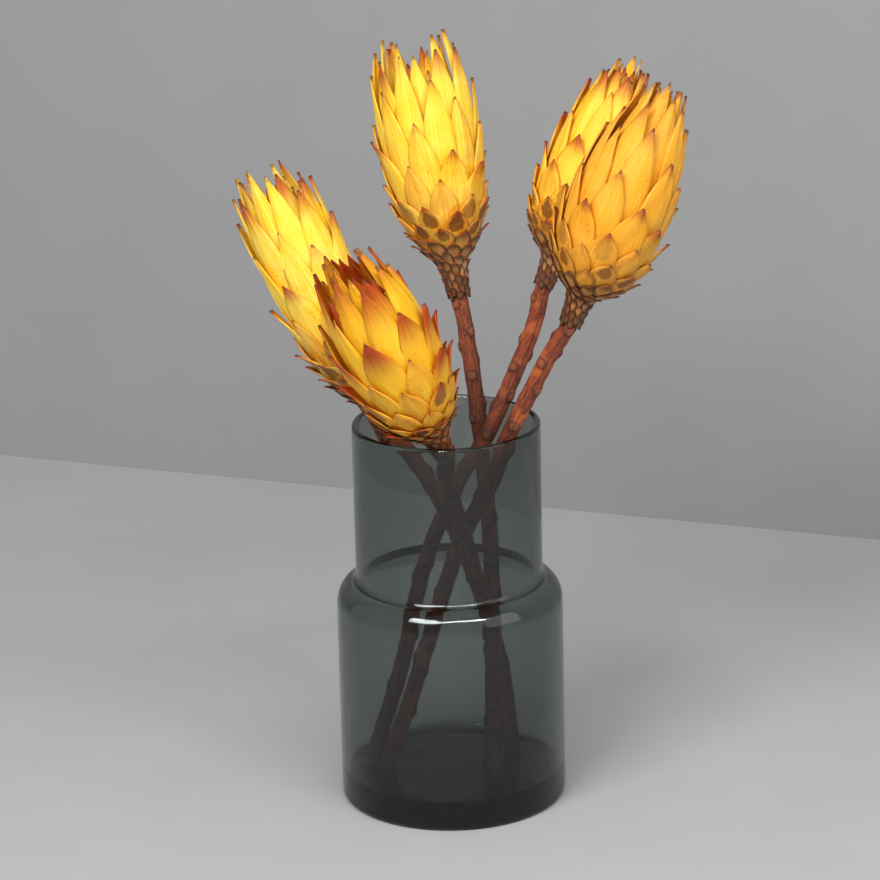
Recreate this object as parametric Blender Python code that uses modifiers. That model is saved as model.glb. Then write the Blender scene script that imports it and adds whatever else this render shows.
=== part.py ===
"""Five dried protea flowers standing in a two-tier smoked glass vase.

Every size below is in millimetres and is turned into metres as the meshes are made.
The origin is the centre of the vase's foot, +Z is up and -Y is the front.
Each flower is a woody stem that runs up into its head, a cup of small base scales,
three crowns of bracts nested one inside the other, and a tuft of florets in the middle.
"""

import math

import bmesh
import bpy
from mathutils import Vector

MM = 0.001
GAP = 0.35  # clearance between pieces that touch
NEST_GAP = 1.25  # between one crown of bracts and the next

# Vase
VASE_HEIGHT = 172.5
BODY_RADIUS = 50.0
NECK_RADIUS = 41.25
WALL = 2.9
FLOOR_THICKNESS = 10.0
FLOOR_CORNER = 5.0
FOOT_CORNER = 2.5
SHOULDER_BOTTOM = 90.0
SHOULDER_TOP = 101.0
NECK_FILLET = 1.6
VASE_STEPS = 44
CURVE_STEPS = 4

# Stems
FOOT_RADIUS = 3.9
STEM_RADIUS = 3.7
CORE_RADIUS = 3.4  # inside the head
CORE_TOP = 12.0
NECK_LENGTH = 15.0
NECK_PLAY = 0.1  # the stem bends a little inside the lowest scales
STEM_SAMPLES = 17

# Heads: the outline of a head is (height above its neck, radius)
OPEN_HEAD = (
    (-15, 4.8), (-8, 5.1), (0, 6.6), (5, 10.6), (10, 14.2), (18, 19.2), (27, 23.4),
    (38, 26.4), (49, 28.6), (62, 29.6), (74, 29.4), (86, 28.0), (98, 25.0),
)
CLOSED_HEAD = (
    (-15, 4.8), (-8, 5.0), (-1, 6.4), (3, 11.2), (8, 16.6), (14, 20.8), (22, 24.8),
    (32, 27.4), (45, 28.6), (58, 28.4), (70, 26.8), (80, 24.2), (90, 20.6), (98, 17.0),
)
BRACTS_ROUND = 9
# Each crown, from the outside in: name, thickness, where its bracts part, where their tips end,
# and how many rows of faces it has
CROWNS = (
    ("base_scales", 1.0, 12.0, 18.0, 4),
    ("outer_bracts", 1.3, 28.0, 46.0, 4),
    ("middle_bracts", 1.3, 50.0, 73.0, 5),
    ("inner_bracts", 1.3, 76.0, 98.0, 6),
)
TUFT_OUTLINE = ((0, 3.2), (8, 6.2), (30, 8.6), (52, 7.8), (68, 3.6))
TUFT_STEPS = 10

COLOURS = {
    "smoked_glass": ((0.05, 0.07, 0.065, 1.0), 0.03),
    "bark": ((0.20, 0.065, 0.03, 1.0), 0.7),
    "base_scales": ((0.22, 0.09, 0.03, 1.0), 0.65),
    "outer_bracts": ((0.72, 0.38, 0.05, 1.0), 0.6),
    "middle_bracts": ((0.80, 0.48, 0.05, 1.0), 0.6),
    "inner_bracts": ((0.88, 0.62, 0.06, 1.0), 0.6),
    "florets": ((0.30, 0.20, 0.11, 1.0), 0.9),
}

# Each flower: the stem's centre line from its foot up to the neck, the neck itself,
# the way the head points, and the head's outline, length and girth.
FLOWERS = {
    "middle": {
        "stem": ((17.0, -5.0, 15), (18.3, -2.0, 50), (18.8, 3.5, 84), (18.8, 13.5, 112),
                 (16.8, 26.5, 141), (13.8, 31.0, 172), (9.6, 35.5, 205)),
        "neck": (4.8, 40.0, 232.5),
        "points_to": (-11.0, 57.0, 327.0),
        "outline": OPEN_HEAD, "length": 1.0, "girth": 1.0,
    },
    "right_rear": {
        "stem": ((-37.0, 7.0, 15), (-22.5, 13.0, 54), (-11.0, 17.5, 101), (5.5, 20.0, 139),
                 (16.0, 21.3, 155), (25.3, 23.2, 174), (38.5, 27.0, 204)),
        "neck": (49.3, 30.5, 237.0),
        "points_to": (83.5, 45.0, 319.0),
        "outline": CLOSED_HEAD, "length": 0.92, "girth": 0.88,
    },
    "right_front": {
        "stem": ((-30.0, -3.5, 15), (-19.0, -3.0, 43), (-5.0, -5.0, 89), (7.0, -11.0, 125),
                 (18.3, -17.0, 149), (26.6, -22.0, 172), (43.5, -30.0, 208)),
        "neck": (58.5, -36.0, 238.5),
        "points_to": (93.0, -46.0, 325.0),
        "outline": CLOSED_HEAD, "length": 0.98, "girth": 0.98,
    },
    "left_front": {
        "stem": ((17.5, -14.0, 15), (19.5, -13.0, 50), (17.0, -12.5, 86), (11.5, -15.5, 105),
                 (6.0, -20.5, 129), (0.0, -28.0, 155)),
        "neck": (-5.8, -34.6, 179.0),
        "points_to": (-43.0, -68.0, 266.0),
        "outline": OPEN_HEAD, "length": 0.98, "girth": 0.95,
    },
    "left_rear": {
        "stem": ((27.0, 16.0, 15), (24.5, 17.5, 40), (20.0, 17.0, 64), (14.0, 13.5, 88),
                 (6.0, 6.5, 113), (-4.5, 0.0, 139), (-16.5, -3.0, 160)),
        "neck": (-32.0, -3.0, 183.0),
        "points_to": (-75.0, 8.0, 279.0),
        "outline": OPEN_HEAD, "length": 1.12, "girth": 0.84,
    },
}


def clear_scene():
    for obj in list(bpy.data.objects):
        bpy.data.objects.remove(obj, do_unlink=True)


def material(name):
    colour, roughness = COLOURS[name]
    made = bpy.data.materials.get(name) or bpy.data.materials.new(name)
    made.use_nodes = True
    shader = made.node_tree.nodes["Principled BSDF"]
    shader.inputs["Base Color"].default_value = colour
    shader.inputs["Roughness"].default_value = roughness
    shader.inputs["Metallic"].default_value = 0.0
    if name == "smoked_glass":
        shader.inputs["Transmission Weight"].default_value = 1.0
        shader.inputs["IOR"].default_value = 1.5
    return made


def add_object(collection, name, data, finish):
    obj = bpy.data.objects.new(name, data)
    obj.data.materials.append(material(finish))
    collection.objects.link(obj)
    return obj


def arc(centre, radii, start_degrees, end_degrees):
    """Points on an ellipse's arc, ends included, as (radius, height)."""
    points = []
    for i in range(CURVE_STEPS + 1):
        angle = math.radians(start_degrees + (end_degrees - start_degrees) * i / CURVE_STEPS)
        points.append((centre[0] + radii[0] * math.cos(angle), centre[1] + radii[1] * math.sin(angle)))
    return points


def vase_outline():
    """The wall's section, from the floor's centre up the inside, over the rim and down the outside."""
    inner_body = BODY_RADIUS - WALL
    inner_neck = NECK_RADIUS - WALL
    lip = WALL / 2
    floor = FLOOR_THICKNESS
    inside = [(0.0, floor)]
    inside += arc((inner_body - FLOOR_CORNER, floor + FLOOR_CORNER), (FLOOR_CORNER, FLOOR_CORNER), -90, 0)
    shoulder_rise = SHOULDER_TOP - SHOULDER_BOTTOM
    inside += arc((inner_neck, SHOULDER_BOTTOM - WALL * 0.6), (inner_body - inner_neck, shoulder_rise), 0, 86)
    inside += [(inner_neck, SHOULDER_TOP + NECK_FILLET)]
    rim = arc((NECK_RADIUS - lip, VASE_HEIGHT - lip), (lip, lip), 180, 0)
    outside = [(NECK_RADIUS, SHOULDER_TOP + NECK_FILLET)]
    outside += arc((NECK_RADIUS, SHOULDER_BOTTOM), (BODY_RADIUS - NECK_RADIUS, shoulder_rise), 78, 0)
    outside += arc((BODY_RADIUS - FOOT_CORNER, FOOT_CORNER), (FOOT_CORNER, FOOT_CORNER), 0, -90)
    return inside + rim + outside + [(0.0, 0.0)]


def turned(collection, name, outline, steps, finish):
    """A solid turned about Z from an outline that starts and ends on the axis."""
    mesh = bpy.data.meshes.new(name)
    points = [(radius * MM, 0.0, height * MM) for radius, height in outline]
    mesh.from_pydata(points, [(i, i + 1) for i in range(len(points) - 1)], [])
    obj = add_object(collection, name, mesh, finish)
    screw = obj.modifiers.new("Turn", "SCREW")
    screw.axis = "Z"
    screw.steps = steps
    screw.render_steps = steps
    screw.use_merge_vertices = True
    screw.merge_threshold = 0.00001
    screw.use_smooth_shade = True
    return obj


def head_axis(flower):
    return (Vector(flower["points_to"]) - Vector(flower["neck"])).normalized()


def head_outline(flower):
    """The head's outline at this flower's own length and girth."""
    return [(height * flower["length"], radius * flower["girth"]) for height, radius in flower["outline"]]


def radius_at(outline, height):
    """The outline's radius at a height, on straight lines between its points."""
    for (low, low_radius), (high, high_radius) in zip(outline, outline[1:]):
        if height <= high:
            share = (height - low) / (high - low)
            return low_radius + (high_radius - low_radius) * share
    return outline[-1][1]


def inside_outline(outline, depth):
    """The outline moved inwards by a depth, square to itself."""
    moved = []
    for i, (height, radius) in enumerate(outline):
        before = outline[max(i - 1, 0)]
        after = outline[min(i + 1, len(outline) - 1)]
        along = Vector((after[0] - before[0], after[1] - before[1])).normalized()
        moved.append((height + along.y * depth, radius - along.x * depth))
    return moved


def foot_height(inner_outline):
    """The lowest height at which a shell's inner face still clears the stem."""
    height = inner_outline[0][0]
    while radius_at(inner_outline, height) < CORE_RADIUS + GAP + NECK_PLAY:
        height += 0.1
    return height


def crown(collection, name, finish, flower, depth, thickness, bracts, turn):
    """A ring of bracts joined at the foot and parted at the tips, standing round the head's axis."""
    part_height, tip_height, rows = bracts
    outline = inside_outline(head_outline(flower), depth)
    foot = foot_height(inside_outline(head_outline(flower), depth + thickness))
    columns = 2 * BRACTS_ROUND
    shell = bmesh.new()
    bmesh.ops.create_grid(shell, x_segments=columns, y_segments=rows, size=0.5)
    for vertex in shell.verts:
        column = round((vertex.co.x + 0.5) * columns)
        climb = vertex.co.y + 0.5
        top = (tip_height if (column + turn) % 2 else part_height) * flower["length"]
        height = foot + (top - foot) * climb ** 0.9
        angle = 2 * math.pi * column / columns
        radius = radius_at(outline, height)
        vertex.co = Vector((radius * math.cos(angle), radius * math.sin(angle), height)) * MM
    bmesh.ops.remove_doubles(shell, verts=shell.verts, dist=0.00001)
    bmesh.ops.recalc_face_normals(shell, faces=shell.faces)
    mesh = bpy.data.meshes.new(name)
    shell.to_mesh(mesh)
    shell.free()
    obj = add_object(collection, name, mesh, finish)
    wall = obj.modifiers.new("Thickness", "SOLIDIFY")
    wall.thickness = thickness * MM
    wall.offset = -1.0
    wall.use_even_offset = False
    return obj


def smooth_path(points, samples):
    """Points evenly spread along a Catmull-Rom curve through the given ones."""
    guides = [Vector(p) for p in points]
    guides = [guides[0] * 2 - guides[1]] + guides + [guides[-1] * 2 - guides[-2]]
    spans = len(guides) - 3
    path = []
    for i in range(samples):
        along = spans * i / (samples - 1)
        k = min(int(along), spans - 1)
        t = along - k
        a, b, c, d = guides[k:k + 4]
        path.append(0.5 * (2 * b + (c - a) * t + (2 * a - 5 * b + 4 * c - d) * t**2 + (3 * b - a - 3 * c + d) * t**3))
    return path


def stem_points(flower):
    """The stem's guide points, with its foot seated on the vase's floor and its top inside the head."""
    neck = Vector(flower["neck"])
    axis = head_axis(flower)
    guides = [Vector(p) for p in flower["stem"]]
    lean = (guides[1] - guides[0]).normalized()
    tilt = math.acos(lean.z)
    guides[0].z = FLOOR_THICKNESS + GAP + FOOT_RADIUS * math.sin(tilt)
    length = flower["length"]
    guides += [neck - axis * NECK_LENGTH * length, neck - axis * 2.0, neck + axis * CORE_TOP * length]
    return guides


def stem(collection, name, flower):
    path = smooth_path(stem_points(flower), STEM_SAMPLES)
    neck = Vector(flower["neck"])
    axis = head_axis(flower)
    curve = bpy.data.curves.new(name, "CURVE")
    curve.dimensions = "3D"
    curve.bevel_depth = MM
    curve.bevel_resolution = 3
    curve.use_fill_caps = True
    line = curve.splines.new("POLY")
    line.points.add(len(path) - 1)
    for i, (point, place) in enumerate(zip(line.points, path)):
        point.co = (*(place * MM), 1.0)
        in_head = (place - neck).dot(axis) > -NECK_LENGTH * flower["length"] - 3.0
        near_foot = max(0.0, 1.0 - i / 4)
        point.radius = CORE_RADIUS if in_head else STEM_RADIUS + (FOOT_RADIUS - STEM_RADIUS) * near_foot
    return add_object(collection, name, curve, "bark")


def tuft(collection, name, flower):
    lift = CORE_TOP + GAP
    outline = [(radius, height + lift) for height, radius in TUFT_OUTLINE]
    outline = [(0.0, outline[0][1])] + outline + [(0.0, outline[-1][1] + 4.0)]
    length = flower["length"]
    turned_outline = [(radius, height * length) for radius, height in reversed(outline)]
    return turned(collection, name, turned_outline, TUFT_STEPS, "florets")


def stand_on_neck(obj, flower):
    """Stands a piece that was made about Z on the flower's neck, along the head's axis."""
    obj.location = Vector(flower["neck"]) * MM
    obj.rotation_mode = "QUATERNION"
    obj.rotation_quaternion = head_axis(flower).to_track_quat("Z", "Y")


def head(collection, side, flower):
    pieces = [tuft(collection, f"florets_{side}", flower)]
    depth = 0.0
    for turn, (name, thickness, *bracts) in enumerate(CROWNS):
        pieces.append(crown(collection, f"{name}_{side}", name, flower, depth, thickness, bracts, turn))
        depth += thickness + NEST_GAP
    for piece in pieces:
        stand_on_neck(piece, flower)


def main():
    clear_scene()
    collection = bpy.data.collections.new("protea_flowers_in_vase")
    bpy.context.scene.collection.children.link(collection)
    turned(collection, "vase", vase_outline(), VASE_STEPS, "smoked_glass")
    for side, flower in FLOWERS.items():
        stem(collection, f"stem_{side}", flower)
        head(collection, side, flower)


main()
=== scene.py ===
"""Five dried protea flowers in a two-tier smoked glass vase: the finish of every surface.

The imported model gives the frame. Sizes are in millimetres until a mesh is finished.
Bracts, bristles, bark and leaf scars follow rules, so Geometry Nodes make them.
"""

import logging
import math
from dataclasses import dataclass, field
from enum import Enum

import bmesh
import bpy
from mathutils import Matrix, Vector


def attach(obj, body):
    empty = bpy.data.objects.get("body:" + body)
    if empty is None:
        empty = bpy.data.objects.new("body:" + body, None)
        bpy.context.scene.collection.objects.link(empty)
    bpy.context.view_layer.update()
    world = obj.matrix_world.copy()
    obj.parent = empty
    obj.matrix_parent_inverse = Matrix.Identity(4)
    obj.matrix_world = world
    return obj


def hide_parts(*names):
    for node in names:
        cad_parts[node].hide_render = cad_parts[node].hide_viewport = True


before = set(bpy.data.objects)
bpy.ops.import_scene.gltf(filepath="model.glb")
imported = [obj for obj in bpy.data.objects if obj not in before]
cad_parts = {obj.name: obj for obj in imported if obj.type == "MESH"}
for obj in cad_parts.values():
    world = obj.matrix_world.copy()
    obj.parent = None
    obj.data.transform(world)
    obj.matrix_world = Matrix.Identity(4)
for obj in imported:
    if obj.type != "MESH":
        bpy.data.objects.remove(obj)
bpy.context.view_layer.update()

MM = 0.001
BODY = "root"
GOLDEN_ANGLE = math.radians(137.508)
LOG = logging.getLogger("protea")
FLOAT, WHOLE = "NodeSocketFloat", "NodeSocketInt"

Points = tuple[tuple[float, float], ...]
Colour = tuple[float, float, float]
Tree = bpy.types.NodeTree
Socket = bpy.types.NodeSocket
Material = bpy.types.Material
Piece = bpy.types.Object


class Tier(Enum):
    """The tiers of a flower head, from the neck to the middle."""

    SCALES = "base_scales"
    OUTER = "outer_bracts"
    MIDDLE = "middle_bracts"
    INNER = "inner_bracts"


@dataclass(frozen=True)
class TierSpan:
    """Which bracts of the spiral belong to one tier."""

    first: int
    count: int
    thickness: float


SPANS = {
    Tier.SCALES: TierSpan(0, 72, 0.45),
    Tier.OUTER: TierSpan(72, 20, 0.55),
    Tier.MIDDLE: TierSpan(92, 15, 0.55),
    Tier.INNER: TierSpan(107, 32, 0.5),
}
VISIBLE_COUNT = 124  # bracts that show from the side; the last ones fill the head's mouth


def linear(level: float) -> float:
    """Turns one level from the 0 to 255 display scale into linear light."""
    if level > 10:
        return ((level / 255 + 0.055) / 1.055) ** 2.4
    return level / 255 / 12.92


def colour(red: float, green: float, blue: float) -> Colour:
    """Turns a colour from the 0 to 255 display scale into linear light."""
    return linear(red), linear(green), linear(blue)


@dataclass(frozen=True)
class HeadFinish:
    """The colours of one flower head, from its lowest scales to its inner bracts."""

    scale: Colour = colour(190, 142, 92)
    scale_edge: Colour = colour(66, 30, 16)
    low: Colour = colour(228, 146, 28)
    high: Colour = colour(255, 196, 26)
    pale: Colour = colour(255, 232, 96)
    tip: Colour = colour(176, 78, 14)
    spots: float = 0.55
    tip_reach: float = 0.16


@dataclass(frozen=True)
class Outline:
    """A head's outline as (height above the neck, radius), and how its bracts stand."""

    points: Points
    tip_flare: float


OPEN = Outline(
    ((-16, 4.9), (-8, 5.2), (0, 6.8), (5, 10.4), (10, 14.0), (18, 18.4), (27, 21.2),
     (38, 22.9), (49, 24.0), (62, 24.2), (74, 23.2), (86, 21.0), (98, 17.6)), 1.0)
CLOSED = Outline(
    ((-16, 4.9), (-8, 5.1), (-1, 6.6), (3, 11.0), (8, 16.2), (14, 20.2), (22, 22.9),
     (32, 24.2), (45, 24.0), (58, 22.4), (70, 19.6), (80, 16.0), (90, 12.2), (98, 9.0)), 0.45)
NARROW = Outline(
    ((-16, 4.9), (-8, 5.1), (-1, 6.8), (3, 10.6), (8, 15.0), (14, 18.6), (22, 21.4),
     (32, 23.2), (45, 24.0), (58, 23.6), (70, 21.8), (80, 19.2), (90, 16.0), (98, 13.0)), 0.8)


@dataclass(frozen=True)
class Flower:
    """Where one flower stands: its stem's centre line, its neck and the way its head points."""

    stem: tuple[tuple[float, float, float], ...]
    neck: tuple[float, float, float]
    points_to: tuple[float, float, float]
    outline: Outline
    length: float
    girth: float
    seed: int
    finish: HeadFinish = field(default_factory=HeadFinish)

    def axis(self) -> Vector:
        """The unit vector from the neck to the head's top."""
        return (Vector(self.points_to) - Vector(self.neck)).normalized()

    def placing(self) -> Matrix:
        """The matrix from millimetres on the head's own axis to metres in the frame."""
        turn = self.axis().to_track_quat("Z", "Y").to_matrix().to_4x4()
        return Matrix.Translation(Vector(self.neck) * MM) @ turn @ Matrix.Scale(MM, 4)


FLOWERS = {
    "middle": Flower(
        stem=((17.0, -5.0, 15), (18.3, -2.0, 50), (18.8, 3.5, 84), (18.8, 13.5, 112),
              (16.8, 26.5, 141), (13.8, 31.0, 172), (9.6, 35.5, 205)),
        neck=(4.8, 40.0, 232.5), points_to=(-11.0, 57.0, 327.0),
        outline=OPEN, length=1.0, girth=1.0, seed=3),
    "right_rear": Flower(
        stem=((-37.0, 7.0, 15), (-22.5, 13.0, 54), (-11.0, 17.5, 101), (5.5, 20.0, 139),
              (16.0, 21.3, 155), (25.3, 23.2, 174), (38.5, 27.0, 204)),
        neck=(49.3, 30.5, 237.0), points_to=(83.5, 45.0, 319.0),
        outline=CLOSED, length=0.92, girth=0.88, seed=11,
        finish=HeadFinish(high=colour(252, 186, 24), pale=colour(255, 214, 72))),
    "right_front": Flower(
        stem=((-30.0, -3.5, 15), (-19.0, -3.0, 43), (-5.0, -5.0, 89), (7.0, -11.0, 125),
              (18.3, -17.0, 149), (26.6, -22.0, 172), (43.5, -30.0, 208)),
        neck=(58.5, -36.0, 238.5), points_to=(93.0, -46.0, 325.0),
        outline=CLOSED, length=0.98, girth=0.98, seed=23,
        finish=HeadFinish(
            low=colour(218, 140, 30), high=colour(236, 160, 26), pale=colour(240, 186, 66),
            tip=colour(160, 76, 20), spots=0.4, tip_reach=0.14)),
    "left_front": Flower(
        stem=((17.5, -14.0, 15), (19.5, -13.0, 50), (17.0, -12.5, 86), (11.5, -15.5, 105),
              (6.0, -20.5, 129), (0.0, -28.0, 155)),
        neck=(-5.8, -34.6, 179.0), points_to=(-43.0, -68.0, 266.0),
        outline=NARROW, length=0.98, girth=0.95, seed=31,
        finish=HeadFinish(
            high=colour(252, 184, 20), pale=colour(250, 214, 60), tip=colour(178, 66, 8),
            spots=1.0, tip_reach=0.3)),
    "left_rear": Flower(
        stem=((27.0, 16.0, 15), (24.5, 17.5, 40), (20.0, 17.0, 64), (14.0, 13.5, 88),
              (6.0, 6.5, 113), (-4.5, 0.0, 139), (-16.5, -3.0, 160)),
        neck=(-32.0, -3.0, 183.0), points_to=(-75.0, 8.0, 279.0),
        outline=OPEN, length=1.12, girth=0.84, seed=47,
        finish=HeadFinish(high=colour(255, 204, 36), pale=colour(255, 238, 118))),
}


# Node building


class Value:
    """A node socket that plain arithmetic works on, one Math node for each step."""

    def __init__(self, tree: Tree, socket: Socket) -> None:
        """Keeps the tree and the socket."""
        self.tree = tree
        self.socket = socket

    def math(self, operation: str, *others: "Value | float") -> "Value":
        """Adds one Math node.

        Args:
            operation: the Math node's operation.
            others: its second and third inputs.

        Returns:
            The node's result.
        """
        return number(self.tree, operation, self, *others)

    def __add__(self, other: "Value | float") -> "Value":
        """Sum."""
        return self.math("ADD", other)

    def __sub__(self, other: "Value | float") -> "Value":
        """Difference."""
        return self.math("SUBTRACT", other)

    def __rsub__(self, other: float) -> "Value":
        """Difference from a plain number."""
        return number(self.tree, "SUBTRACT", other, self)

    def __mul__(self, other: "Value | float") -> "Value":
        """Product."""
        return self.math("MULTIPLY", other)

    def __truediv__(self, other: "Value | float") -> "Value":
        """Quotient."""
        return self.math("DIVIDE", other)

    def __pow__(self, other: "Value | float") -> "Value":
        """Power."""
        return self.math("POWER", other)

    __radd__ = __add__
    __rmul__ = __mul__


def number(tree: Tree, operation: str, *inputs: "Value | float") -> Value:
    """Adds a Math node.

    Args:
        tree: the tree that gets it.
        operation: the node's operation.
        inputs: what goes into its sockets, numbers or values.

    Returns:
        The node's result.
    """
    node = tree.nodes.new("ShaderNodeMath")
    node.operation = operation
    for socket, item in zip(node.inputs, inputs):
        feed(tree, socket, item)
    return Value(tree, node.outputs[0])


def feed(tree: Tree, socket: Socket, item: object) -> None:
    """Fills a socket.

    Args:
        tree: the tree that the socket belongs to.
        socket: the socket to fill.
        item: a value or a socket to link, or a plain number or colour to set.
    """
    if isinstance(item, Value):
        item = item.socket
    if isinstance(item, Socket):
        tree.links.new(item, socket)
    else:
        socket.default_value = item


def add(tree: Tree, kind: str, inputs: dict[str, object] | None = None,
        **settings: object) -> bpy.types.Node:
    """Adds a node.

    Args:
        tree: the tree that gets it.
        kind: the node's type.
        inputs: what goes into its sockets, by name.
        settings: its own properties.

    Returns:
        The new node.
    """
    node = tree.nodes.new(kind)
    for name, value in settings.items():
        setattr(node, name, value)
    for name, item in (inputs or {}).items():
        feed(tree, node.inputs[name], item)
    return node


def follow(value: Value, points: Points, low: float, high: float) -> Value:
    """A smooth curve through points as a function of a value.

    Args:
        value: what the curve is read at.
        points: the curve's points as (value, result), in order.
        low: the lowest result that the curve can give.
        high: the highest.

    Returns:
        The curve's result.
    """
    start, end = points[0][0], points[-1][0]
    node = value.tree.nodes.new("ShaderNodeFloatCurve")
    curve = node.mapping.curves[0]
    scaled = [((x - start) / (end - start), (y - low) / (high - low)) for x, y in points]
    curve.points[0].location = scaled[0]
    curve.points[1].location = scaled[-1]
    for place in scaled[1:-1]:
        curve.points.new(*place)
    node.mapping.update()
    value.tree.links.new(((value - start) / (end - start)).socket, node.inputs["Value"])
    return Value(value.tree, node.outputs[0]) * (high - low) + low


def new_tree(name: str,
             inputs: dict[str, tuple[str, float]]) -> tuple[Tree, dict[str, Value]]:
    """A geometry tree with named inputs.

    Args:
        name: the tree's name.
        inputs: each input's kind and default value, by name.

    Returns:
        The tree and its inputs as values.
    """
    tree = bpy.data.node_groups.new(name, "GeometryNodeTree")
    for label, (kind, default) in inputs.items():
        socket = tree.interface.new_socket(label, in_out="INPUT", socket_type=kind)
        if kind != "NodeSocketGeometry":
            socket.default_value = default
    tree.interface.new_socket("Geometry", in_out="OUTPUT", socket_type="NodeSocketGeometry")
    entry = tree.nodes.new("NodeGroupInput")
    return tree, {label: Value(tree, entry.outputs[label]) for label in inputs}


def close_tree(tree: Tree, geometry: Socket,
               material: Material) -> None:
    """Ends a tree with real geometry, smooth faces and its finish.

    Args:
        tree: the tree.
        geometry: what it has made.
        material: the finish.
    """
    real = add(tree, "GeometryNodeRealizeInstances", {"Geometry": geometry})
    smooth = add(tree, "GeometryNodeSetShadeSmooth", {"Geometry": real.outputs[0]})
    dressed = add(tree, "GeometryNodeSetMaterial", {"Geometry": smooth.outputs[0], "Material": material})
    out = tree.nodes.new("NodeGroupOutput")
    tree.links.new(dressed.outputs[0], out.inputs[0])


def store(tree: Tree, geometry: Socket, name: str,
          value: Value) -> Socket:
    """Stores a number on every point.

    Args:
        tree: the tree.
        geometry: the points.
        name: the name that the number is read back by.
        value: the number.

    Returns:
        The geometry that carries it.
    """
    node = add(tree, "GeometryNodeStoreNamedAttribute", data_type="FLOAT", domain="POINT")
    for label, item in (("Geometry", geometry), ("Name", name), ("Value", value)):
        feed(tree, node.inputs[label], item)
    return node.outputs[0]


def stored(tree: Tree, name: str) -> Value:
    """A stored number, read back by its name."""
    node = add(tree, "GeometryNodeInputNamedAttribute", {"Name": name}, data_type="FLOAT")
    return Value(tree, node.outputs["Attribute"])


def chance(tree: Tree, order: Value, seed: Value, salt: int) -> Value:
    """A fixed random number from 0 to 1 for each place in an order.

    Args:
        tree: the tree.
        order: the place in the order.
        seed: the flower's seed.
        salt: which of the flower's random numbers this is.

    Returns:
        The random number.
    """
    node = add(tree, "FunctionNodeRandomValue", data_type="FLOAT")
    feed(tree, next(s for s in node.inputs if s.name == "ID" and s.enabled), order)
    feed(tree, next(s for s in node.inputs if s.name == "Seed" and s.enabled), seed + salt)
    return Value(tree, next(s for s in node.outputs if s.enabled))


def scattered(tree: Tree, shape: Socket, given: dict[str, Value],
              first: Value | float, lots: tuple[str, ...]) -> tuple[Socket, bpy.types.Node]:
    """Copies a shape for each place in an order, and stores that place and its random numbers.

    Args:
        tree: the tree.
        shape: the shape to copy.
        given: the tree's inputs, Count and Seed among them.
        first: the first place in the order.
        lots: the names that the random numbers are stored under.

    Returns:
        The copies as one mesh, and a node that gives each point's X, Y and Z within its copy.
    """
    starts = add(tree, "GeometryNodePoints", {"Count": given["Count"]})
    index = Value(tree, add(tree, "GeometryNodeInputIndex").outputs[0])
    points = store(tree, starts.outputs[0], "order", index + first)
    for salt, name in enumerate(lots):
        points = store(tree, points, name, chance(tree, stored(tree, "order"), given["Seed"], salt))
    laid = add(tree, "GeometryNodeInstanceOnPoints", {"Points": points, "Instance": shape})
    real = add(tree, "GeometryNodeRealizeInstances", {"Geometry": laid.outputs[0]})
    split = add(tree, "ShaderNodeSeparateXYZ")
    tree.links.new(add(tree, "GeometryNodeInputPosition").outputs[0], split.inputs[0])
    return real.outputs[0], split


def baked(name: str, tree: Tree, sizes: dict[str, object],
          source: Piece | None = None, thickness: float = 0.0) -> Piece:
    """Runs a tree and keeps its result as a plain mesh.

    Args:
        name: the piece's name.
        tree: the geometry tree.
        sizes: the tree's inputs, by name.
        source: an object that the tree starts from, removed afterwards.
        thickness: the wall that a sheet gets, in the tree's own units.

    Returns:
        The new object, not yet placed.
    """
    maker = source or bpy.data.objects.new(name + "_maker", bpy.data.meshes.new(name + "_maker"))
    bpy.context.scene.collection.objects.link(maker)
    modifier = maker.modifiers.new("Maker", "NODES")
    modifier.node_group = tree
    for item in tree.interface.items_tree:
        if item.item_type == "SOCKET" and item.name in sizes:
            modifier[item.identifier] = sizes[item.name]
    if thickness:
        wall = maker.modifiers.new("Wall", "SOLIDIFY")
        wall.thickness = thickness
        wall.offset = 0.0
    bpy.context.view_layer.update()
    shown = maker.evaluated_get(bpy.context.evaluated_depsgraph_get())
    mesh = bpy.data.meshes.new_from_object(shown)
    mesh.name = name
    bpy.data.objects.remove(maker)
    piece = bpy.data.objects.new(name, mesh)
    bpy.context.scene.collection.objects.link(piece)
    return piece


def hand_over(piece: Piece, slot: str, *nodes: str) -> None:
    """Puts a finished piece on the body.

    Args:
        piece: the finished piece.
        slot: not used.
        nodes: the solids that it stands for.
    """
    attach(piece, BODY)
    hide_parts(*nodes)
    LOG.info("%s: %d faces, for %s", piece.name, len(piece.data.polygons), ", ".join(nodes))


# Finishes


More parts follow.
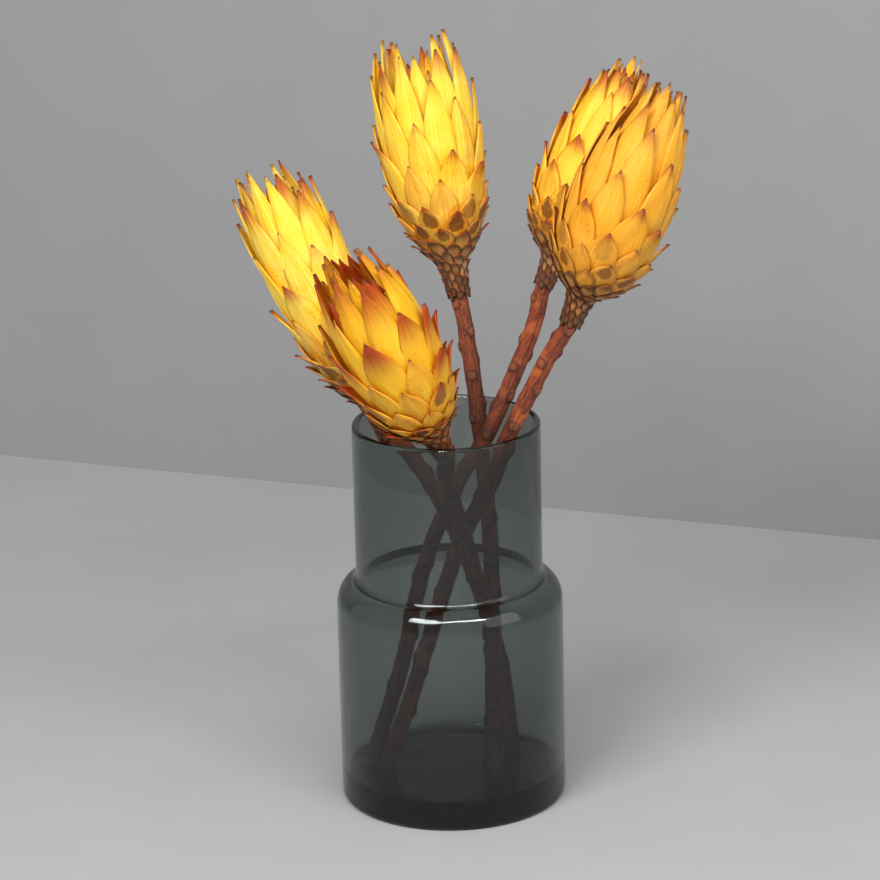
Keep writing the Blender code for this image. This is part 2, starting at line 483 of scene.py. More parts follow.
class Shader:
    """A material being built: its tree, its surface and short ways to its usual nodes."""

    def __init__(self, name: str) -> None:
        """Starts a material with one surface shader."""
        self.material = bpy.data.materials.new(name)
        self.material.use_nodes = True
        self.tree = self.material.node_tree
        self.surface = self.tree.nodes["Principled BSDF"]

    def attribute(self, name: str) -> Value:
        """A number stored on the mesh."""
        node = add(self.tree, "ShaderNodeAttribute", attribute_type="GEOMETRY", attribute_name=name)
        return Value(self.tree, node.outputs["Fac"])

    def place(self) -> Socket:
        """Object coordinates."""
        return add(self.tree, "ShaderNodeTexCoord").outputs["Object"]

    def noise(self, vector: object, scale: float, detail: float = 3.0) -> Value:
        """Noise from 0 to 1 at a vector."""
        node = add(self.tree, "ShaderNodeTexNoise", {"Vector": vector, "Scale": scale, "Detail": detail})
        return Value(self.tree, node.outputs["Fac"])

    def ramp(self, value: Value, low: float, high: float) -> Value:
        """A smooth step.

        Args:
            value: what it is read at.
            low: where it is 0.
            high: where it is 1, which may lie below low.

        Returns:
            The step, from 0 to 1.
        """
        node = add(self.tree, "ShaderNodeMapRange", interpolation_type="SMOOTHSTEP")
        for label, item in (("Value", value), ("From Min", low), ("From Max", high)):
            feed(self.tree, node.inputs[label], item)
        return Value(self.tree, node.outputs["Result"])

    def mix(self, share: Value | float, first: object, second: object) -> Socket:
        """Mixes two colours.

        Args:
            share: how much of the second shows, from 0 to 1.
            first: a colour or a socket.
            second: a colour or a socket.

        Returns:
            The mixed colour.
        """
        node = add(self.tree, "ShaderNodeMix", data_type="RGBA")
        for socket, item in ((node.inputs[0], share), (node.inputs[6], first), (node.inputs[7], second)):
            feed(self.tree, socket, (*item, 1.0) if isinstance(item, tuple) else item)
        return node.outputs[2]

    def bump(self, height: Value, distance: float, strength: float = 1.0) -> None:
        """Raises the surface by a height, over a distance in metres."""
        node = add(self.tree, "ShaderNodeBump", {
            "Height": height, "Distance": distance, "Strength": strength})
        self.tree.links.new(node.outputs[0], self.surface.inputs["Normal"])

    def finish(self, base: object, roughness: Value | float) -> Material:
        """Sets the surface's colour and roughness.

        Args:
            base: the colour, as numbers or a socket.
            roughness: from 0, mirror-like, to 1.

        Returns:
            The finished material.
        """
        feed(self.tree, self.surface.inputs["Base Color"], base)
        feed(self.tree, self.surface.inputs["Roughness"], roughness)
        return self.material


def vector_of(tree: Tree, x: object, y: object, z: object) -> Socket:
    """A vector from three numbers or values."""
    return add(tree, "ShaderNodeCombineXYZ", {"X": x, "Y": y, "Z": z}).outputs[0]


class BractShader(Shader):
    """Dry bract: golden, paler up the head, with a brown tip, brown rims low down, veins and spots."""

    BLOTCH = colour(92, 26, 12)
    BLOTCH_PLACE = 0.74  # how far up the bract its blotch sits
    SPOT_SCALE = 260.0
    SPECK_SCALE = 420.0
    LIGHT_REACH = (0.002, 0.0012, 0.0004)  # how far red, green and blue light travels inside, in metres

    def __init__(self, name: str, colours: HeadFinish) -> None:
        """Reads the bract's own numbers and makes the noises that its layers share.

        Args:
            name: the material's name.
            colours: the head's colours.
        """
        super().__init__(name)
        self.colours = colours
        self.amber = tuple(0.55 * low + 0.45 * tip for low, tip in zip(colours.low, colours.tip))
        self.along, self.across = self.attribute("along"), self.attribute("across")
        self.tone, self.tier = self.attribute("tone"), self.attribute("tier")
        self.low_down = 1.0 - self.tier
        self.at = self.place()
        self.broad = self.noise(self.at, 70.0)
        self.fine = self.noise(self.at, 700.0, 4.0)
        fibres = vector_of(self.tree, self.across * 7.0, self.along * 1.2, self.tone * 40.0)
        self.veins = self.noise(fibres, 1.6, 3.0)

    def dots(self, scale: float) -> Value:
        """The distance to the nearest of many scattered points."""
        node = add(self.tree, "ShaderNodeTexVoronoi", {"Vector": self.at, "Scale": scale})
        return Value(self.tree, node.outputs["Distance"])

    def ground(self) -> Socket:
        """The clean bract.

        Returns:
            Gold that pales along the veins, tan on the scales, with amber patches.
        """
        gold_share = self.ramp(self.tier + (self.tone - 0.5) * 0.12, 0.66, 0.88)
        gold = self.mix(gold_share, self.colours.low, self.colours.high)
        pale_share = self.ramp(self.veins * 0.5 + self.broad * 0.5, 0.4, 0.66) * 0.7
        gold = self.mix(pale_share, gold, self.colours.pale)
        gold = self.mix(self.ramp(self.tier, 0.42, 0.62) * -1.0 + 1.0, gold, self.colours.scale)
        return self.mix(self.ramp(self.broad + self.low_down * 0.3, 0.58, 0.85) * 0.5, gold, self.amber)

    def rims(self, ground: Socket) -> Socket:
        """Adds brown rims low down, amber ones above them and the dark neck.

        Args:
            ground: the colour below them.

        Returns:
            The colour with them.
        """
        brown = self.colours.scale_edge
        rim = self.across.math("ABSOLUTE").math("MAXIMUM", self.along - 0.08)
        rim = rim + self.ramp(self.low_down, 0.36, 0.5) * 0.2
        edge = self.ramp(rim + (self.broad - 0.5) * 0.4, 0.66, 1.02)
        ground = self.mix(edge * self.ramp(self.low_down, 0.28, 0.5) * 0.9, ground, brown)
        ground = self.mix(edge * self.ramp(self.tier, 0.6, 0.9) * 0.18, ground, self.amber)
        neck = self.ramp(self.low_down + (self.tone - 0.5) * 0.2, 0.6, 0.9)
        return self.mix(neck * 0.8, ground, brown)

    def marks(self, ground: Socket) -> Socket:
        """Adds a dark blotch on some bracts of the middle band, round spots and fine specks.

        Args:
            ground: the colour below them.

        Returns:
            The colour with them.
        """
        brown, spots = self.colours.scale_edge, self.colours.spots
        band = self.ramp(self.tier, 0.5, 0.6) * self.ramp(self.low_down, 0.18, 0.34)
        away = ((self.along - self.BLOTCH_PLACE) * 3.6) ** 2.0 + (self.across * 1.3) ** 2.0
        away = away + (self.fine - 0.5) * 0.8 + (self.broad - 0.5) * 1.2
        blotch = band * self.ramp(away, 0.75, 0.4)
        blotch = blotch * self.ramp(self.tone, 0.3, 0.4) * (0.45 + 0.55 * spots)
        ground = self.mix(blotch, ground, self.BLOTCH)
        spot = self.ramp(self.dots(self.SPOT_SCALE) + self.broad * 0.5, 0.42, 0.28)
        ground = self.mix(spot * spots * self.ramp(self.low_down, 0.0, 0.6), ground, brown)
        speck = self.ramp(self.dots(self.SPECK_SCALE) + self.broad * 0.35, 0.29, 0.22)
        return self.mix(speck * 0.6, ground, brown)

    def tips(self, ground: Socket) -> Socket:
        """Adds the brown tip and its dark end.

        Args:
            ground: the colour below them.

        Returns:
            The colour with them.
        """
        reach = self.colours.tip_reach
        end = self.along + (self.veins - 0.5) * 0.22 + (self.tone - 0.5) * reach
        ground = self.mix(self.ramp(end, 1.0 - reach, 1.04), ground, self.colours.tip)
        dark = self.ramp(self.along + (self.fine - 0.5) * 0.1, 0.955, 1.0)
        return self.mix(dark * 0.7, ground, self.colours.scale_edge)

    def dressed(self) -> Material:
        """Lays every layer of colour and sets how the bract takes the light.

        Returns:
            The finished material.
        """
        base = self.tips(self.marks(self.rims(self.ground())))
        self.bump(self.veins * 0.6 + self.fine * 0.3 + self.broad * 0.5, 0.0009, 0.7)
        self.surface.inputs["Subsurface Weight"].default_value = 0.1
        self.surface.inputs["Subsurface Radius"].default_value = self.LIGHT_REACH
        self.surface.inputs["Subsurface Scale"].default_value = 0.6
        self.surface.inputs["Specular IOR Level"].default_value = 0.4
        return self.finish(base, self.ramp(self.fine, 0.1, 0.9) * 0.2 + 0.42)


@dataclass(frozen=True)
class BarkFinish:
    """Dry bark: brown ridges, orange bare patches and leaf scars with a dark ring and a paler heart; painted
    shade darkens its lower part, in and near the vase's neck.
    """

    red: float
    furrow: Colour = colour(92, 42, 22)
    bare: Colour = colour(196, 98, 42)
    grit: Colour = colour(62, 28, 16)
    scar_ring: Colour = colour(60, 28, 16)
    scar_heart: Colour = colour(168, 92, 46)
    # painted shade: the tint that darkens the bark's lower part, and the heights in metres where it starts
    # and where it is full
    painted_shade_tint: Colour = colour(58, 32, 22)
    painted_shade_from: float = 0.215
    painted_shade_to: float = 0.165
    roughness: float = 0.72

    def material(self, name: str) -> Material:
        """Builds the bark.

        Args:
            name: the material's name.

        Returns:
            The finished material.
        """
        shade = Shader(name)
        scar, along, around = shade.attribute("scar"), shade.attribute("along"), shade.attribute("around")
        place = shade.place()
        streaks = shade.noise(vector_of(shade.tree, around * 2.2, along * 0.055, 0.0), 2.4, 5.0)
        fine = shade.noise(place, 900.0, 5.0)
        broad = shade.noise(place, 90.0, 3.0)
        ridge = colour(150 + 20 * self.red, 74, 34)
        base = shade.mix(shade.ramp(streaks, 0.35, 0.68), self.furrow, ridge)
        base = shade.mix(shade.ramp(broad, 0.52, 0.7) * (0.35 + 0.4 * self.red), base, self.bare)
        base = shade.mix(shade.ramp(fine, 0.5, 0.75) * 0.45, base, self.grit)
        base = shade.mix(shade.ramp(scar, 0.12, 0.3) * 0.7, base, self.scar_ring)
        base = shade.mix(shade.ramp(scar + (fine - 0.5) * 0.4, 0.4, 0.7) * 0.5, base, self.scar_heart)
        # painted shade: the bark turns darker below about 215 mm height, fully at 165 mm, in and near the
        # vase's neck
        height = add(shade.tree, "ShaderNodeSeparateXYZ", {"Vector": place}).outputs["Z"]
        low = shade.ramp(Value(shade.tree, height) + broad * 0.03, self.painted_shade_from, self.painted_shade_to)
        base = shade.mix(low * 0.6, base, self.painted_shade_tint)
        shade.bump(streaks + fine * 0.6 + broad * 0.5, 0.0012, 0.8)
        return shade.finish(base, self.roughness)


@dataclass(frozen=True)
class FloretFinish:
    """Dry florets: brown bristles that turn pale and woolly towards their ends."""

    root: Colour = colour(96, 56, 26)
    end: Colour = colour(214, 186, 140)
    dark: Colour = colour(58, 32, 20)
    roughness: float = 0.85

    def material(self, name: str) -> Material:
        """Builds the bristles' finish.

        Args:
            name: the material's name.

        Returns:
            The finished material.
        """
        shade = Shader(name)
        along, tone = shade.attribute("along"), shade.attribute("tone")
        base = shade.mix(shade.ramp(along + tone * 0.3, 0.5, 1.1), self.root, self.end)
        base = shade.mix(shade.ramp(tone, 0.5, 0.7), base, self.dark)
        return shade.finish(base, self.roughness)


@dataclass(frozen=True)
class GlassFinish:
    """Smoked glass, grey-green: it darkens with the thickness that light passes through."""

    surface: Colour = (0.97, 0.985, 0.975)
    smoke: Colour = (0.05, 0.135, 0.095)
    smoke_density: float = 285.0
    bending: float = 1.48
    roughness: float = 0.015

    def material(self, name: str) -> Material:
        """Builds the glass.

        Args:
            name: the material's name.

        Returns:
            The finished material.
        """
        shade = Shader(name)
        shade.surface.inputs["Transmission Weight"].default_value = 1.0
        shade.surface.inputs["IOR"].default_value = self.bending
        smoke = add(shade.tree, "ShaderNodeVolumeAbsorption", {
            "Color": (*self.smoke, 1.0), "Density": self.smoke_density})
        output = shade.tree.nodes["Material Output"]
        shade.tree.links.new(smoke.outputs[0], output.inputs["Volume"])
        return shade.finish((*self.surface, 1.0), self.roughness)


# The vase


@dataclass
class Vase:
    """The blown glass vase, turned from its wall's section."""

    height: float = 172.5
    body_radius: float = 50.0
    neck_radius: float = 41.25
    wall: float = 2.9
    floor: float = 10.0
    floor_corner: float = 5.0
    foot_corner: float = 2.5
    shoulder_bottom: float = 90.0
    shoulder_top: float = 101.0
    neck_fillet: float = 1.6
    steps: int = 128
    curve_steps: int = 10
    weld: float = 0.01
    finish: GlassFinish = GlassFinish()

    def arc(self, centre: tuple[float, float], radii: tuple[float, float], start: float,
            end: float) -> list[tuple[float, float]]:
        """Points on an ellipse's arc.

        Args:
            centre: the ellipse's centre, as (radius, height).
            radii: its half axes.
            start: the arc's first angle in degrees.
            end: its last.

        Returns:
            The points, ends included.
        """
        count = self.curve_steps
        angles = [math.radians(start + (end - start) * i / count) for i in range(count + 1)]
        return [(centre[0] + radii[0] * math.cos(a), centre[1] + radii[1] * math.sin(a)) for a in angles]

    @staticmethod
    def with_rings(points: list[tuple[float, float]], reach: float = 0.8) -> list[tuple[float, float]]:
        """Adds a ring near both ends of each long straight stretch, so that it shades straight.

        Args:
            points: the wall's section.
            reach: how far from the stretch's end the ring lies.

        Returns:
            The section with the new points.
        """
        result = [points[0]]
        for a, b in zip(points, points[1:]):
            run = math.dist(a, b)
            if run > 5 * reach:
                for share in (reach / run, 1 - reach / run):
                    result.append((a[0] + (b[0] - a[0]) * share, a[1] + (b[1] - a[1]) * share))
            result.append(b)
        return result

    def section(self) -> list[tuple[float, float]]:
        """The wall's section.

        Returns:
            Points from the floor's centre up the inside, over the rim and down the outside.
        """
        inner_body = self.body_radius - self.wall
        inner_neck = self.neck_radius - self.wall
        rise = self.shoulder_top - self.shoulder_bottom
        lip = self.wall / 2
        corner, foot = self.floor_corner, self.foot_corner
        points = [(0.0, self.floor)]
        points += self.arc((inner_body - corner, self.floor + corner), (corner, corner), -90, 0)
        inner_shoulder = (inner_neck, self.shoulder_bottom - self.wall * 0.6)
        points += self.arc(inner_shoulder, (inner_body - inner_neck, rise), 0, 86)
        points += [(inner_neck, self.shoulder_top + self.neck_fillet)]
        points += self.arc((self.neck_radius - lip, self.height - lip), (lip, lip), 180, 0)
        points += [(self.neck_radius, self.shoulder_top + self.neck_fillet)]
        outer_shoulder = (self.neck_radius, self.shoulder_bottom)
        points += self.arc(outer_shoulder, (self.body_radius - self.neck_radius, rise), 78, 0)
        points += self.arc((self.body_radius - foot, foot), (foot, foot), 0, -90)
        return self.with_rings(points + [(0.0, 0.0)])

    def build(self) -> None:
        """Turns the section about the vase's axis and hands the piece over."""
        shell = bmesh.new()
        ring = [shell.verts.new((r * MM, 0.0, z * MM)) for r, z in self.section()]
        edges = [shell.edges.new(pair) for pair in zip(ring, ring[1:])]
        bmesh.ops.spin(
            shell, geom=ring + edges, cent=(0, 0, 0), axis=(0, 0, 1), angle=math.tau, steps=self.steps)
        bmesh.ops.remove_doubles(shell, verts=shell.verts, dist=self.weld * MM)
        bmesh.ops.recalc_face_normals(shell, faces=shell.faces)
        for face in shell.faces:
            face.smooth = True
        mesh = bpy.data.meshes.new("vase_glass")
        shell.to_mesh(mesh)
        shell.free()
        mesh.materials.append(self.finish.material("smoked_glass"))
        piece = bpy.data.objects.new("vase_glass", mesh)
        bpy.context.scene.collection.objects.link(piece)
        hand_over(piece, "smoked_glass", "vase")


# Stems


@dataclass
class Stem:
    """A woody stem: a tube along its centre line with ridged bark and leaf scars in a spiral."""

    side: str
    flower: Flower
    radius: float = 3.65
    scar_pitch: float = 6.5
    ridge: float = 0.42
    neck_length: float = 15.0
    core_top: float = 12.0
    floor: float = 10.35
    foot_gap: float = 0.2
    guide_steps: int = 8
    ring_sides: int = 26
    ring_pitch: float = 0.8

    def centre_line(self) -> list[Vector]:
        """The stem's centre line.

        Returns:
            Points from its foot to its top inside the head.
        """
        neck, axis = Vector(self.flower.neck), self.flower.axis()
        guides = [Vector(p) for p in self.flower.stem]
        tilt = math.acos((guides[1] - guides[0]).normalized().z)
        guides[0].z = self.floor + self.radius * math.sin(tilt) + self.foot_gap
        length = self.flower.length
        guides += [neck - axis * self.neck_length * length, neck - axis * 2.0]
        guides += [neck + axis * self.core_top * length]
        guides = [guides[0] * 2 - guides[1]] + guides + [guides[-1] * 2 - guides[-2]]
        line = []
        for k in range(len(guides) - 3):
            a, b, c, d = guides[k:k + 4]
            for t in (i / self.guide_steps for i in range(self.guide_steps)):
                line.append(0.5 * (2 * b + (c - a) * t + (2 * a - 5 * b + 4 * c - d) * t**2
                                   + (3 * b - a - 3 * c + d) * t**3))
        return line + [guides[-2]]

    def curve(self) -> Piece:
        """The centre line as a curve.

        Returns:
            The curve object, not yet in the scene.
        """
        line = self.centre_line()
        data = bpy.data.curves.new(self.side, "CURVE")
        data.dimensions = "3D"
        spline = data.splines.new("POLY")
        spline.points.add(len(line) - 1)
        for point, place in zip(spline.points, line):
            point.co = (*place, 1.0)
        return bpy.data.objects.new(self.side, data)

    def tree(self, material: Material) -> Tree:
        """The bark's tree: a tube whose surface is raised by ridges and scars.

        Args:
            material: the bark's finish.

        Returns:
            The tree, whose inputs are Geometry, Radius, Scar pitch, Ridge and Seed.
        """
        tree, given = new_tree("bark", {
            "Geometry": ("NodeSocketGeometry", 0.0), "Radius": (FLOAT, self.radius),
            "Scar pitch": (FLOAT, self.scar_pitch), "Ridge": (FLOAT, self.ridge),
            "Seed": (FLOAT, 0.0)})
        line = add(tree, "GeometryNodeResampleCurve", {
            "Curve": given["Geometry"], "Length": self.ring_pitch}, mode="LENGTH")
        spot = add(tree, "GeometryNodeSplineParameter")
        line = store(tree, line.outputs[0], "along", Value(tree, spot.outputs["Length"]))
        ring = add(tree, "GeometryNodeCurvePrimitiveCircle", {
            "Resolution": self.ring_sides, "Radius": given["Radius"]})
        turn = add(tree, "GeometryNodeSplineParameter")
        ring = store(tree, ring.outputs["Curve"], "around", Value(tree, turn.outputs["Factor"]) * math.tau)
        tube = add(tree, "GeometryNodeCurveToMesh", {"Curve": line, "Profile Curve": ring, "Fill Caps": True})
        along, around = stored(tree, "along"), stored(tree, "around")
        row = (along / given["Scar pitch"]).math("FLOOR")
        rise = along / given["Scar pitch"] - row - 0.5
        apart = (around - row * GOLDEN_ANGLE - given["Seed"]).math("WRAP", math.pi, -math.pi)
        reach = (rise * rise * 9.0 + apart * apart * 2.4) * -1.0
        row_luck = self.noise(tree, vector_of(tree, row * 7.3, given["Seed"], 0.0), 1.0, 0.0)
        scar = reach.math("EXPONENT") * row_luck.math("GREATER_THAN", 0.44)
        place = add(tree, "GeometryNodeInputPosition").outputs[0]
        rough = self.noise(tree, place, 0.55, 4.0) * 1.2 + self.noise(tree, place, 0.16, 2.0) * 1.6
        streak_at = vector_of(tree, around * 2.0, along * 0.12, given["Seed"])
        rough = rough + self.noise(tree, streak_at, 1.6, 3.0) * 1.4
        lift = (rough - 2.3) * given["Ridge"] + scar * 1.15 - (scar ** 8.0) * 0.4
        normal = add(tree, "GeometryNodeInputNormal").outputs[0]
        push = add(tree, "ShaderNodeVectorMath", operation="SCALE")
        feed(tree, push.inputs[0], normal)
        feed(tree, push.inputs["Scale"], lift)
        marked = store(tree, tube.outputs[0], "scar", scar)
        raised = add(tree, "GeometryNodeSetPosition", {"Geometry": marked, "Offset": push.outputs[0]})
        close_tree(tree, raised.outputs[0], material)
        return tree

    @staticmethod
    def noise(tree: Tree, vector: object, scale: float, detail: float) -> Value:
        """Noise from 0 to 1 at a vector."""
        node = add(tree, "ShaderNodeTexNoise", {"Vector": vector, "Scale": scale, "Detail": detail})
        return Value(tree, node.outputs["Fac"])

    def build(self) -> None:
        """Makes the stem and hands it over."""
        red = 1.0 if self.side.startswith("right") else 0.3
        material = BarkFinish(red).material(f"bark_{self.side}")
        tree = self.tree(material)
        sizes = {"Radius": self.radius, "Scar pitch": self.scar_pitch, "Ridge": self.ridge,
                 "Seed": float(self.flower.seed)}
        piece = baked(f"bark_{self.side}", tree, sizes, self.curve())
        piece.data.transform(Matrix.Scale(MM, 4))
        hand_over(piece, "bark", f"stem_{self.side}")


# Heads


@dataclass
class Head:
    """A flower head: bracts on one spiral, from the scaly neck to the inner tips, and its florets."""

    side: str
    flower: Flower
    nest: Points = ((0, 0.5), (50, 1.4), (72, 2.6), (92, 4.6), (107, 6.0), (122, 8.5), (139, 15.0))
    sink: Points = ((0, 0), (116, 0), (126, 3.0), (139, 9.0))
    tip_height: Points = (
        (0, -12), (25, -3), (50, 7), (72, 18), (92, 38), (107, 69), (112, 82), (124, 97), (139, 86))
    foot_height: Points = ((0, -16), (31, -8), (56, 0), (74, 5), (99, 9), (139, 14))
    half_width: Points = (
        (0, 1.5), (31, 2.3), (56, 3.4), (72, 5.0), (92, 6.8), (107, 7.8), (124, 7.4), (139, 6.4))
    shape: Points = ((0, 0.6), (0.3, 0.86), (0.55, 1.0), (0.72, 0.86), (0.86, 0.5), (0.95, 0.2), (1, 0.02))
    flare: Points = ((0, 0.3), (50, 1.0), (74, 3.0), (99, 3.0), (124, 1.6), (139, 0.5))
    least_radius: float = 4.3
    bristle_count: int = 280
    bristle_height: float = 62.0
    bristle_spread: float = 7.5
    bristle_foot: float = 13.0

    def bract_tree(self, tier: Tier, material: Material) -> Tree:
        """The tree that lays one tier's bracts on the spiral.

        Args:
            tier: which tier.
            material: its finish.

        Returns:
            The tree, whose inputs are First, Count, Total, Seed, Length and Girth.
        """
        tree, given = new_tree(f"bracts_{tier.value}", {
            "First": (WHOLE, 0), "Count": (WHOLE, 10),
            "Total": (WHOLE, VISIBLE_COUNT), "Seed": (WHOLE, 0),
            "Length": (FLOAT, 1.0), "Girth": (FLOAT, 1.0)})
        low = tier is Tier.SCALES
        leaf = add(tree, "GeometryNodeMeshGrid", {
            "Size X": 1.0, "Size Y": 1.0, "Vertices X": 7 if low else 9, "Vertices Y": 8 if low else 18})
        lots = ("tone", "reach", "twist")
        real, split = scattered(tree, leaf.outputs["Mesh"], given, given["First"], lots)
        order = stored(tree, "order")
        geometry = store(tree, real, "across", Value(tree, split.outputs["X"]) * 2.0)
        geometry = store(tree, geometry, "along", Value(tree, split.outputs["Y"]) + 0.5)
        geometry = store(tree, geometry, "tier", order / given["Total"])
        moved = add(tree, "GeometryNodeSetPosition", {
            "Geometry": geometry, "Position": self.place(tree, given)})
        close_tree(tree, moved.outputs[0], material)
        return tree

    def place(self, tree: Tree, given: dict[str, Value]) -> Socket:
        """Where a bract's point goes: up the head's outline, round the spiral and out at the tip.

        Args:
            tree: the bracts' tree.
            given: its inputs.

        Returns:
            The point's place.
        """
        across, along, tier = stored(tree, "across"), stored(tree, "along"), stored(tree, "tier")
        order = stored(tree, "order")
        tone, reach, twist = stored(tree, "tone"), stored(tree, "reach"), stored(tree, "twist")
        top = follow(order, self.tip_height, -20, 110) + (reach - 0.5) * 12.0 * tier ** 3.0
        foot = follow(order, self.foot_height, -20, 110)
        height = foot + (top - foot) * along
        outline = self.flower.outline
        radius = follow(height, outline.points, 0, 30) * given["Girth"]
        drawn_in = follow(order, self.nest, 0, 16) * ((1.0 - along) ** 0.8)
        inward = drawn_in + follow(order, self.sink, 0, 10)
        tip = ((along - 0.6) / 0.4).math("MAXIMUM", 0.0) ** 2.0
        flare = follow(order, self.flare, 0, 5) * (tone * 1.5 - 0.35) * tip * outline.tip_flare
        wide = follow(order, self.half_width, 0, 10) * follow(along, self.shape, 0, 1) * (tone * 0.25 + 0.88)
        lap = across * 0.45
        hollow = across * across * wide * (twist - 0.35) * 0.16
        keel = (1.0 - across.math("ABSOLUTE")) * 0.5
        waves = (across * 5.0 + twist * 9.0).math("SINE") * (along * 9.0 + reach * 20.0).math("SINE")
        ripple = waves * 0.35 * tier
        radius = radius - inward + flare + lap + hollow + keel + ripple
        radius = radius.math("MAXIMUM", self.least_radius)
        angle = order * GOLDEN_ANGLE + across * wide / radius
        angle = angle + (twist - 0.5) * 0.16 * along
        ahead = angle.math("COSINE") * radius
        aside = angle.math("SINE") * radius
        return vector_of(tree, ahead, aside, height * given["Length"])

    def floret_tree(self, material: Material) -> Tree:
        """The tree that fills the head's middle with fine curved bristles.

        Args:
            material: the bristles' finish.

        Returns:
            The tree, whose inputs are Count, Seed, Height and Spread.
        """
        tree, given = new_tree("florets", {
            "Count": (WHOLE, self.bristle_count), "Seed": (WHOLE, 0),
            "Height": (FLOAT, self.bristle_height),
            "Spread": (FLOAT, self.bristle_spread)})
        hair = add(tree, "GeometryNodeMeshCone", {
            "Vertices": 4, "Side Segments": 6, "Radius Top": 0.3, "Radius Bottom": 1.0, "Depth": 1.0})
        real, split = scattered(tree, hair.outputs["Mesh"], given, 0.0, ("tone", "reach"))
        geometry = store(tree, real, "along", Value(tree, split.outputs["Z"]))
        along, order = stored(tree, "along"), stored(tree, "order")
        tone, reach = stored(tree, "tone"), stored(tree, "reach")
        out = (order / given["Count"]).math("SQRT") * given["Spread"]
        bulge = along * 0.55 + 0.45 + (along * math.pi).math("SINE") * 0.25
        angle = order * GOLDEN_ANGLE + along * (tone - 0.5) * 1.1
        away = out * bulge + (reach - 0.5) * along * 2.0
        thin = 0.42 - along * 0.2
        x = angle.math("COSINE") * away + Value(tree, split.outputs["X"]) * thin
        y = angle.math("SINE") * away + Value(tree, split.outputs["Y"]) * thin
        z = along * given["Height"] * (reach * 0.3 + 0.7) + self.bristle_foot
        moved = add(tree, "GeometryNodeSetPosition", {
            "Geometry": geometry, "Position": vector_of(tree, x, y, z)})
        close_tree(tree, moved.outputs[0], material)
        return tree

    def build(self) -> None:
        """Makes the head's tiers and florets and hands them over."""
        placing = self.flower.placing()
        for tier, span in SPANS.items():
            name = f"{tier.value}_{self.side}"
            material = BractShader(f"{name}_finish", self.flower.finish).dressed()
            sizes = {"First": span.first, "Count": span.count, "Total": VISIBLE_COUNT,
                     "Seed": self.flower.seed, "Length": self.flower.length, "Girth": self.flower.girth}
            piece = baked(f"leafy_{name}", self.bract_tree(tier, material), sizes, thickness=span.thickness)
            piece.data.transform(placing)
            hand_over(piece, tier.value, name)
        sizes = {"Count": self.bristle_count, "Seed": self.flower.seed,
                 "Height": self.bristle_height * self.flower.length,
                 "Spread": self.bristle_spread * self.flower.girth}
        tree = self.floret_tree(FloretFinish().material(f"florets_{self.side}_finish"))
        piece = baked(f"bristles_{self.side}", tree, sizes)
        piece.data.transform(placing)
        hand_over(piece, "florets", f"florets_{self.side}")


# The studio


@dataclass(frozen=True)
class SoftLight:
    """An oblong soft light: where it stands, its width and height, and its power in watts."""

    name: str
    place: tuple[float, float, float]
    size: tuple[float, float]
    power: float

    def build(self, lit_point: Vector) -> None:
        """Makes the light and turns it to the point that it lights."""
        data = bpy.data.lights.new(self.name, "AREA")
        data.shape = "RECTANGLE"
        data.size, data.size_y = self.size[0] * MM, self.size[1] * MM
        data.energy = self.power
        lamp = bpy.data.objects.new(self.name, data)
        lamp.location = Vector(self.place) * MM
        aim = lit_point - Vector(self.place)
        lamp.rotation_mode = "QUATERNION"
        lamp.rotation_quaternion = aim.to_track_quat("-Z", "Y")
        bpy.context.scene.collection.objects.link(lamp)


LIGHTS = (
    SoftLight("key", (-900, -1300, 1700), (900, 700), 33.0),
    SoftLight("fill", (1300, -900, 900), (1200, 1200), 6.0),
    SoftLight("window", (160, -760, 900), (1000, 70), 8.0),
)


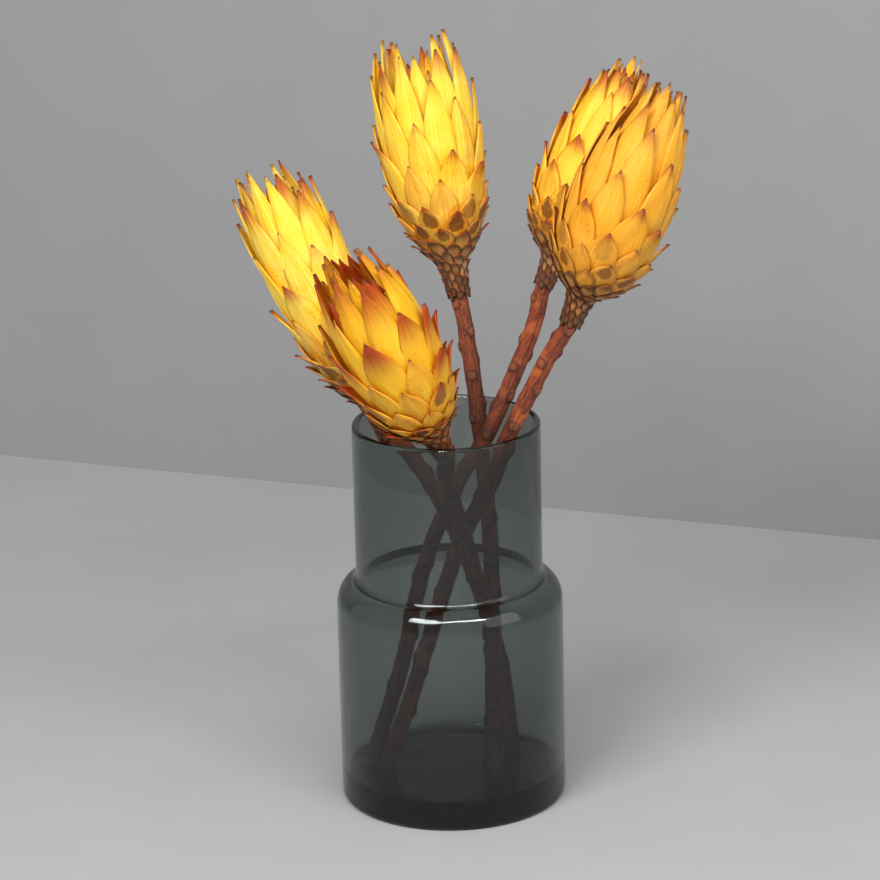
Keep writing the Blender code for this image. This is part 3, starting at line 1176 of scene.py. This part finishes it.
@dataclass
class Studio:
    """The pale floor, the grey wall behind, the soft lights and the camera."""

    floor_tint: Colour = colour(168, 168, 169)
    wall_tint: Colour = colour(146, 146, 145)
    paint_roughness: float = 0.85
    floor_reach: float = 4000
    wall_reach: float = 3000
    lit_height: float = 120
    sky: Colour = (0.93, 0.95, 1.0)
    sky_strength: float = 0.42
    wall_left: tuple[float, float] = (-258.6, 504.0)
    wall_right: tuple[float, float] = (230.6, 320.0)
    target: tuple[float, float, float] = (-2.744, 0.0, 163.9)
    distance: float = 1593.6
    elevation: float = 17.716
    roll: float = 1.333
    focal: float = 149.48
    sensor: float = 36.0
    sight: float = 20.0

    def sheet(self, name: str, corners: list[Vector], tint: Colour, one_sided: bool = False) -> None:
        """A flat stage sheet with a matt paint.

        Args:
            name: the sheet's name.
            corners: its four corners in millimetres.
            tint: the paint's colour.
            one_sided: whether it is clear from behind, so that it never hides the object.
        """
        mesh = bpy.data.meshes.new(name)
        mesh.from_pydata([c * MM for c in corners], [], [(0, 1, 2, 3)])
        shade = Shader(name)
        grain = shade.noise(shade.place(), 18.0)
        paint = shade.mix(shade.ramp(grain, 0.2, 0.8), tint, tuple(c * 0.96 for c in tint))
        mesh.materials.append(shade.finish(paint, self.paint_roughness))
        if one_sided:
            clear = add(shade.tree, "ShaderNodeBsdfTransparent")
            side = add(shade.tree, "ShaderNodeNewGeometry")
            both = add(shade.tree, "ShaderNodeMixShader")
            sources = (side.outputs["Backfacing"], shade.surface.outputs[0], clear.outputs[0])
            for socket, source in zip(both.inputs, sources):
                shade.tree.links.new(source, socket)
            shade.tree.links.new(both.outputs[0], shade.tree.nodes["Material Output"].inputs["Surface"])
        obj = bpy.data.objects.new(name, mesh)
        bpy.context.scene.collection.objects.link(obj)

    def stage(self) -> None:
        """The floor and the wall."""
        left, right = Vector((*self.wall_left, 0)), Vector((*self.wall_right, 0))
        run = (right - left).normalized() * self.wall_reach
        middle = (left + right) / 2
        a, b, up = middle - run, middle + run, Vector((0, 0, self.wall_reach))
        signs = ((-1, -1), (1, -1), (1, 1), (-1, 1))
        corners = [Vector((x * self.floor_reach, y * self.floor_reach, 0)) for x, y in signs]
        self.sheet("floor", corners, self.floor_tint)
        self.sheet("wall", [a, b, b + up, a + up], self.wall_tint, one_sided=True)

    def camera(self) -> None:
        """The camera, rolled a little to the side."""
        lift, roll = math.radians(self.elevation), math.radians(self.roll)
        back = Vector((0, -math.cos(lift), math.sin(lift)))
        data = bpy.data.cameras.new("camera")
        data.lens = self.focal
        data.sensor_width = self.sensor
        data.clip_end = self.sight
        cam = bpy.data.objects.new("camera", data)
        cam.location = (Vector(self.target) + back * self.distance) * MM
        cam.rotation_mode = "QUATERNION"
        turn = Matrix.Rotation(-roll, 4, back)
        level = (-back).to_track_quat("-Z", "Y").to_matrix().to_4x4()
        cam.rotation_quaternion = (turn @ level).to_quaternion()
        bpy.context.scene.collection.objects.link(cam)
        bpy.context.scene.camera = cam

    def build(self) -> None:
        """Sets the stage, the lights and the camera."""
        self.stage()
        for light in LIGHTS:
            light.build(Vector((0, 0, self.lit_height)))
        world = bpy.data.worlds.new("room")
        world.use_nodes = True
        background = world.node_tree.nodes["Background"]
        background.inputs["Color"].default_value = (*self.sky, 1.0)
        background.inputs["Strength"].default_value = self.sky_strength
        bpy.context.scene.world = world
        bpy.context.scene.view_settings.view_transform = "Standard"
        self.camera()


def main() -> None:
    """Builds the studio, the vase and the five flowers."""
    logging.basicConfig(level=logging.INFO, format="%(message)s")
    Studio().build()
    Vase().build()
    for side, flower in FLOWERS.items():
        Stem(side, flower).build()
        Head(side, flower).build()


if __name__ == "__main__":
    main()
